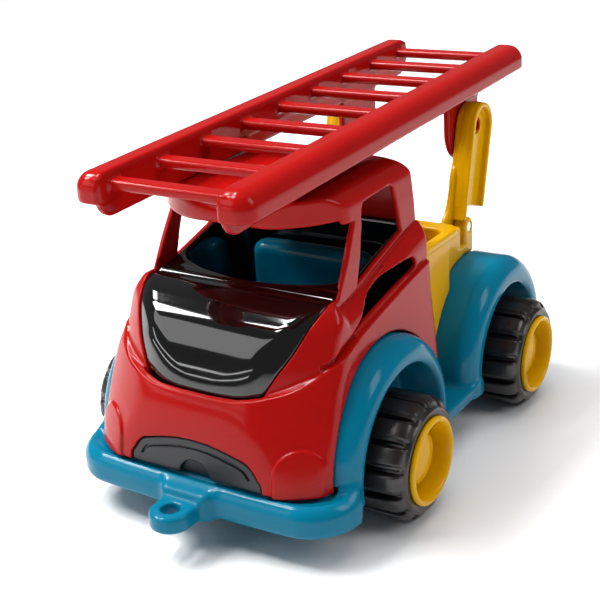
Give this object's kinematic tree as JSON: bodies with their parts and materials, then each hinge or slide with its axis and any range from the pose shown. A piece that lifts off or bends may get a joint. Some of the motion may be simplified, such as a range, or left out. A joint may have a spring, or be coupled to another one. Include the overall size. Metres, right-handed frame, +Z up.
{
  "type": "toy fire engine",
  "caption": "Chunky plastic toy fire engine: red open cab, teal chassis with wide fenders, yellow bed, and a red ladder on two swinging yellow arms",
  "frame": {"origin": "centre of the footprint, on the ground under the tyres", "axes": "+Y towards the back of the truck, +X towards its left side, +Z up"},
  "size_m": [0.171, 0.2933, 0.1734],
  "materials": {
    "teal_plastic": "glossy",
    "red_plastic": "glossy",
    "black_plastic": "glossy",
    "grille_plastic": "satin",
    "yellow_plastic": "glossy",
    "tyre_rubber": "satin",
    "steel": "satin"
  },
  "bodies": {
    "truck": {"chassis": "teal_plastic", "cab_shell": "red_plastic", "hood_liner": "black_plastic", "grille_insert": "grille_plastic", "seat": "teal_plastic", "ladder_bed": "yellow_plastic", "left_arm_pin": "steel", "right_arm_pin": "steel", "front_axle_keeper": "black_plastic", "rear_axle_keeper": "black_plastic", "body_screws": "steel", "keeper_screws": "steel"},
    "front_wheels": {"front_axle": "steel", "front_left_tyre": "tyre_rubber", "front_right_tyre": "tyre_rubber", "front_left_hub": "yellow_plastic", "front_right_hub": "yellow_plastic"},
    "rear_wheels": {"rear_axle": "steel", "rear_left_tyre": "tyre_rubber", "rear_right_tyre": "tyre_rubber", "rear_left_hub": "yellow_plastic", "rear_right_hub": "yellow_plastic"},
    "arms": {"left_arm": "yellow_plastic", "right_arm": "yellow_plastic"},
    "ladder_body": {"ladder": "red_plastic", "left_ladder_pin": "red_plastic", "right_ladder_pin": "red_plastic"}
  },
  "joints": [
    {"name": "front_wheels_roll", "type": "hinge", "parent": "truck", "child": "front_wheels", "pos_m": [0, -0.06, 0.028], "axis": [1, 0, 0], "continuous": true},
    {"name": "rear_wheels_roll", "type": "hinge", "parent": "truck", "child": "rear_wheels", "pos_m": [0, 0.066, 0.028], "axis": [1, 0, 0], "continuous": true},
    {"name": "arms_swing", "type": "hinge", "parent": "truck", "child": "arms", "pos_m": [0, 0.071, 0.0905], "axis": [-1, 0, 0], "range_deg": [0, 35]},
    {"name": "ladder_tilt", "type": "hinge", "parent": "arms", "child": "ladder_body", "pos_m": [0, 0.0884, 0.14], "axis": [-1, 0, 0], "range_deg": [0, 70]}
  ]
}
